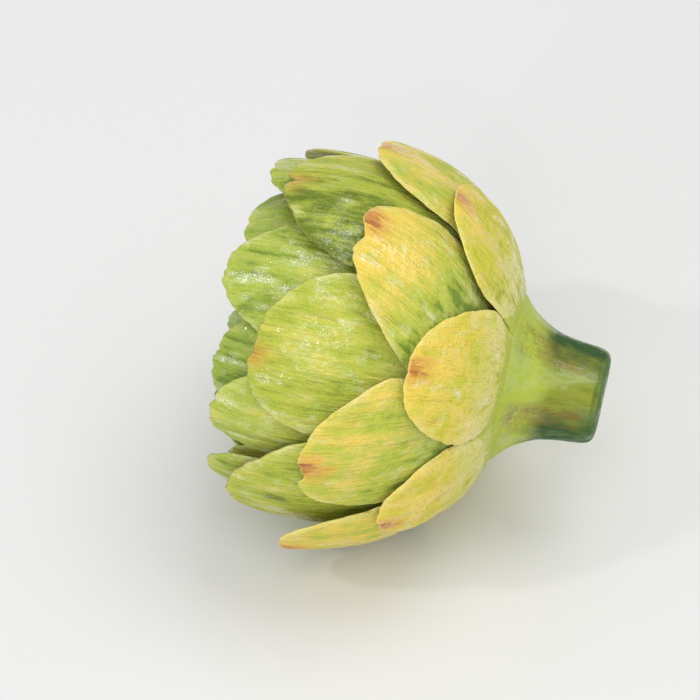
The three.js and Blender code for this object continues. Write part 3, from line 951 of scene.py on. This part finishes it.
# The upper bracts, the fourth whorl: leaves as long as the middle ones, whose points turn
# in and make the shoulder of the blunt top. They are green, and the most frosted, with painted
# glints in the frost.
upper_skin = leaf_skin(
    "upper_skin", linear(208, 208, 88), linear(174, 190, 70), linear(112, 138, 38),
    linear(220, 228, 172), linear(168, 168, 104),
)
grow_whorl(
    "upper_leaf", "upper_skin", upper_skin,
    [(35, 18.1), (36.6, 37.5), (70.4, 49.5), (97.9, 39.3)], 25,
    {
        1: {
            "Turn": 16, "Reach": 1.012, "Half Width": 19.5, "Round": 1.85, "Ripeness": 0.15,
            "Frost And Glints": 0.6,
        },
        2: {"Turn": 68, "Reach": 0.965, "Round": 2.6, "Shoulder": 0.7, "Lift": 1.2},
        5: {
            "Turn": -69, "Skew": -3, "Reach": 0.972, "Round": 3.2, "Shoulder": 0.72,
            "Lean": 0.1, "Low": 1.15, "High": 1.5, "Claim": 1.6, "Ripeness": 0.5,
        },
        6: {
            "Turn": -38, "Reach": 0.968, "Half Width": 21, "Round": 2.6, "Ripeness": 0.5,
            "Frost And Glints": 0.55,
        },
    },
    {0: (40, 44), 1: (80, 88), 2: (64, 72), 5: (64, 72), 6: (80, 88)},
    **{
        "Half Width": 22.6, "Base Share": 0.42, "Shoulder": 0.6, "Edge": -1.3, "Tilt": 0.7,
        "Base Thickness": 2.2, "Tip Thickness": 1.2, "Ripeness": 0.2, "Wave": 0.8,
    },
)


# The crown bracts, the fifth whorl, mostly covered by the others: only their points show,
# between those of the upper ones, where they close in over the top.
crown_skin = leaf_skin(
    "crown_skin", linear(204, 206, 84), linear(158, 180, 66), linear(108, 136, 40),
    linear(204, 216, 154), linear(180, 188, 112),
)
grow_whorl(
    "crown_leaf", "crown_skin", crown_skin,
    [(38.1, 16.1), (40, 33.5), (77, 48), (98.9, 31)], -5,
    {
        1: {
            "Turn": -16, "Reach": 0.978, "Half Width": 24, "Round": 3, "Lean": -0.3,
            "Ripeness": 0.15, "Frost And Glints": 0.5,
        },
        2: {"Turn": 47, "Reach": 0.985, "Round": 2.4},
        6: {"Turn": -76, "Reach": 0.89, "Round": 2.5, "Ripeness": 0.9, "Blush": 1},
    },
    {0: (36, 40), 1: (64, 72), 2: (64, 72), 6: (48, 56)},
    **{
        "Half Width": 20.6, "Base Share": 0.42, "Shoulder": 0.6, "Edge": -1.2, "Tilt": 0.7,
        "Base Thickness": 2.1, "Tip Thickness": 1.2, "Ripeness": 0.2, "Wave": 0.6,
    },
)


# The inner, heart and bud bracts: three more whorls of thinner, paler leaves, each shorter
# and more curved than the last, which close the top over the bud.
young = {"Shoulder": 0.6, "Tilt": 0.7, "Ripeness": 0.3, "Wave": 0.5}
inner_skin = leaf_skin(
    "inner_skin", linear(192, 204, 98), linear(142, 172, 82), linear(106, 142, 62),
    linear(194, 208, 148), linear(186, 198, 124),
)
grow_whorl(
    "inner_leaf", "inner_skin", inner_skin,
    [(41, 13.7), (43.4, 30), (80, 46), (98.9, 20.5)], 25, {}, {0: (52, 48)},
    **young, **{"Half Width": 18, "Base Share": 0.45, "Edge": -1,
                "Base Thickness": 2, "Tip Thickness": 1.1},
)
heart_skin = leaf_skin(
    "heart_skin", linear(200, 208, 112), linear(156, 180, 94), linear(120, 150, 74),
    linear(202, 212, 156), linear(192, 202, 132),
)
grow_whorl(
    "heart_leaf", "heart_skin", heart_skin,
    [(43.5, 10.8), (47.2, 26), (80, 41.5), (98.2, 11.5)], -5, {}, {0: (48, 44)},
    **young, **{"Half Width": 14.8, "Base Share": 0.45, "Edge": -0.8,
                "Base Thickness": 1.8, "Tip Thickness": 1.1},
)
bud_skin = leaf_skin(
    "bud_skin", linear(206, 212, 124), linear(168, 188, 106), linear(134, 160, 84),
    linear(208, 216, 164), linear(198, 206, 138),
)
grow_whorl(
    "bud_leaf", "bud_skin", bud_skin,
    [(46, 7.2), (52.2, 20), (80, 34), (97, 4.5)], 25, {}, {0: (44, 40)},
    **young, **{"Half Width": 10.8, "Base Share": 0.5, "Edge": -0.5,
                "Base Thickness": 1.6, "Tip Thickness": 1},
)


# The closed bud in the middle: the last leaves, too tightly wrapped to part, with slightly
# twisted lobes that run up to a blunt point.
BUD_OUTLINE = [
    (46.9, 0), (47.6, 4.6), (52, 8), (62, 13), (72, 15), (80, 13.6), (87, 9.2), (91.5, 4.2),
    (94, 0),
]
BUD_SIDES = 72
BUD_STEPS = 60
BUD_LOBES = 6
LOBE_DEPTH = 0.5
LOBE_TWIST = 0.5
FULL_LOBE_RADIUS = 8
GRAIN_ACROSS = 12
BUD_LEAF_START = 40
BUD_LEAF_LENGTH = 60
BUD_SEED = 2.5
bud_rings = np.array(BUD_OUTLINE, float)
bud_length = length_along(bud_rings)
bud_steps = np.linspace(0, bud_length[-1], BUD_STEPS)
bud_fine = np.stack([np.interp(bud_steps, bud_length, bud_rings[:, k]) for k in (0, 1)], 1)
bud_points, bud_leaf, bud_grain = [], [], []
for bud_height, bud_radius in bud_fine[1:-1]:
    along_bud = (bud_height - BUD_LEAF_START) / BUD_LEAF_LENGTH
    for index in range(BUD_SIDES):
        azimuth = 2 * math.pi * index / BUD_SIDES
        lobe = math.cos(BUD_LOBES * (azimuth + math.radians(LOBE_TWIST * bud_height)))
        radius = bud_radius + LOBE_DEPTH * min(1, bud_radius / FULL_LOBE_RADIUS) * lobe
        bud_points.append(around(radius, azimuth, bud_height))
        bud_leaf.append((0, along_bud, 5 + lobe * 4))
        bud_grain.append((azimuth * GRAIN_ACROSS, bud_height, BUD_SEED))
for end_height in (bud_fine[0][0], bud_fine[-1][0]):
    bud_points.append(around(0, 0, end_height))
    bud_leaf.append((0, (end_height - BUD_LEAF_START) / BUD_LEAF_LENGTH, 5))
    bud_grain.append((0, end_height, BUD_SEED))
bud_faces = turned_faces(BUD_STEPS - 2, BUD_SIDES)
bud = solid_piece(
    "bud", bud_points, bud_faces,
    {"leaf": bud_leaf, "grain": bud_grain, "tone": [(0.3, 0.3, 0)] * len(bud_points)}, bud_skin,
)
bud_outer = bud.data.attributes.new("outer", "FLOAT", "POINT")
bud_outer.data.foreach_set("value", np.ones(len(bud_points), np.float32))
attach(bud, "root")
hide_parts("closed_bud")
